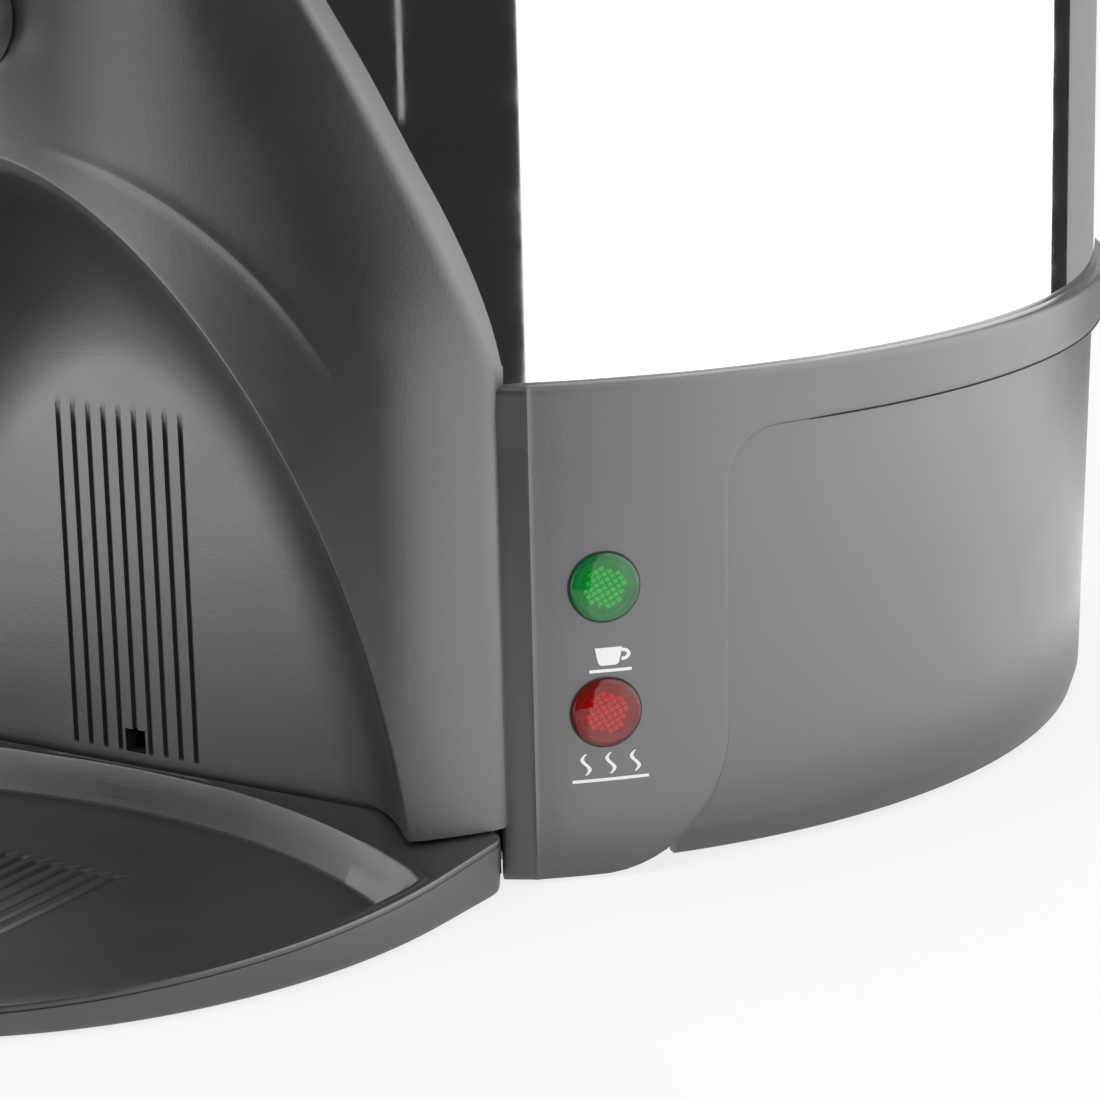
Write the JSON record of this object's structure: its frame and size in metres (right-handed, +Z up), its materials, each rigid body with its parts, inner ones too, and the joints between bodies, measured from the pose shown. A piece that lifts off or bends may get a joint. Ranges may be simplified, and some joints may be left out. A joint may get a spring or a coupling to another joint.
{
  "type": "coffee urn",
  "caption": "Electric coffee urn: steel drum on a moulded base, front tower with tap, level gauge, arched cup niche and pull-out drip tray, two pilot lamps, percolator set and lift-off lid.",
  "frame": {"origin": "on the drum's upright axis, in the plane of the feet", "axes": "+Z up, -Y towards the user (tap side), +X to the user's right"},
  "size_m": [0.323, 0.3227, 0.4187],
  "materials": {
    "black_plastic": "satin black, fine moulded grain",
    "phenolic_black": "smooth satin",
    "polished_steel": "polished with a faint horizontal brushing",
    "tank_steel": "bright rolled",
    "tap_chrome": "bright plating",
    "plated_steel": "zinc plated",
    "black_rubber": "matt",
    "silicone": "translucent white",
    "clear_glass": "clear",
    "green_lens": "clear green",
    "red_lens": "clear dark red",
    "cast_aluminium": "as cast",
    "heater_sheath": "heat tinted",
    "white_moulding": "matt",
    "switch_gloss": "gloss black",
    "lead_insulation": "satin",
    "brass": "bright",
    "scale_label": "satin silver film",
    "red_button": "gloss"
  },
  "bodies": {
    "urn": {"base_collar": "black_plastic", "base_plate": "plated_steel", "base_screws": "plated_steel", "bracket_screw": "plated_steel", "drum_jacket": "polished_steel", "earth_stud": "brass", "feet": "black_rubber", "gauge_bracket": "phenolic_black", "gauge_glass": "clear_glass", "gauge_nut": "phenolic_black", "gauge_seal_lower": "black_rubber", "gauge_seal_upper": "black_rubber", "handle_left": "phenolic_black", "handle_right": "phenolic_black", "handle_screws": "plated_steel", "heater_plate": "cast_aluminium", "heater_ring": "heater_sheath", "inlet_pins": "brass", "inlet_screws": "plated_steel", "inner_tank": "tank_steel", "internal_leads": "lead_insulation", "keep_warm_element": "heater_sheath", "lamp_bodies": "white_moulding", "lamp_clips": "plated_steel", "lamp_lens_lower": "red_lens", "lamp_lens_upper": "green_lens", "level_scale": "scale_label", "mains_inlet": "switch_gloss", "rear_shell": "black_plastic", "shank_locknut": "plated_steel", "shank_seal_inner": "black_rubber", "shank_seal_outer": "black_rubber", "spacer_sleeve": "tank_steel", "switch_frame": "switch_gloss", "tap_body": "tap_chrome", "tap_bonnet": "phenolic_black", "terminal_block": "white_moulding", "terminal_screws": "brass", "thermal_cutout": "switch_gloss", "thermostat": "white_moulding", "tower_screws": "plated_steel", "tower_shell": "black_plastic"},
    "lid": {"lid_shell": "polished_steel", "lid_knob": "phenolic_black", "knob_washer": "black_rubber", "knob_screw": "plated_steel"},
    "stem": {"valve_stem": "tap_chrome", "seat_cup": "silicone", "tap_spring": "plated_steel"},
    "lever": {"tap_lever": "phenolic_black", "lever_pin": "plated_steel"},
    "tray": {"drip_tray": "black_plastic"},
    "rocker": {"switch_rocker": "switch_gloss"},
    "reset": {"reset_button": "red_button"},
    "pump": {"pump_tube": "tank_steel"},
    "basket": {"filter_basket": "tank_steel"},
    "cover": {"basket_cover": "tank_steel"}
  },
  "joints": [
    {"name": "lid_lift", "type": "slide", "parent": "urn", "child": "lid", "axis": [0, 0, 1], "range_m": [0, 0.12]},
    {"name": "stem_lift", "type": "slide", "parent": "urn", "child": "stem", "axis": [0, 0, 1], "range_m": [0, 0.0041], "deforming": ["tap_spring"]},
    {"name": "lever_tilt", "type": "hinge", "parent": "stem", "child": "lever", "pos_m": [0, -0.1615, 0.1755], "axis": [1, 0, 0], "range_deg": [0, 35], "stiffness_Nm_per_rad": 0.0343, "springref_deg": -35},
    {"name": "tray_pull", "type": "slide", "parent": "urn", "child": "tray", "axis": [0, -1, 0], "range_m": [0, 0.12]},
    {"name": "rocker_tilt", "type": "hinge", "parent": "urn", "child": "rocker", "pos_m": [-0.08634, -0.08634, 0.038], "axis": [0.7071, -0.7071, 0], "range_deg": [-16, 0]},
    {"name": "reset_push", "type": "slide", "parent": "urn", "child": "reset", "axis": [0, 0, 1], "range_m": [0, 0.002], "stiffness_N_per_m": 400, "springref_m": -0.001},
    {"name": "pump_lift", "type": "slide", "parent": "urn", "child": "pump", "axis": [0, 0, 1], "range_m": [0, 0.025]},
    {"name": "basket_lift", "type": "slide", "parent": "pump", "child": "basket", "axis": [0, 0, 1], "range_m": [0, 0.008]},
    {"name": "cover_lift", "type": "slide", "parent": "basket", "child": "cover", "axis": [0, 0, 1], "range_m": [0, 0.008]}
  ],
  "couplings": [
    {"joint": "stem_lift", "follows": "lever_tilt", "m_per_rad": 0.006548}
  ]
}
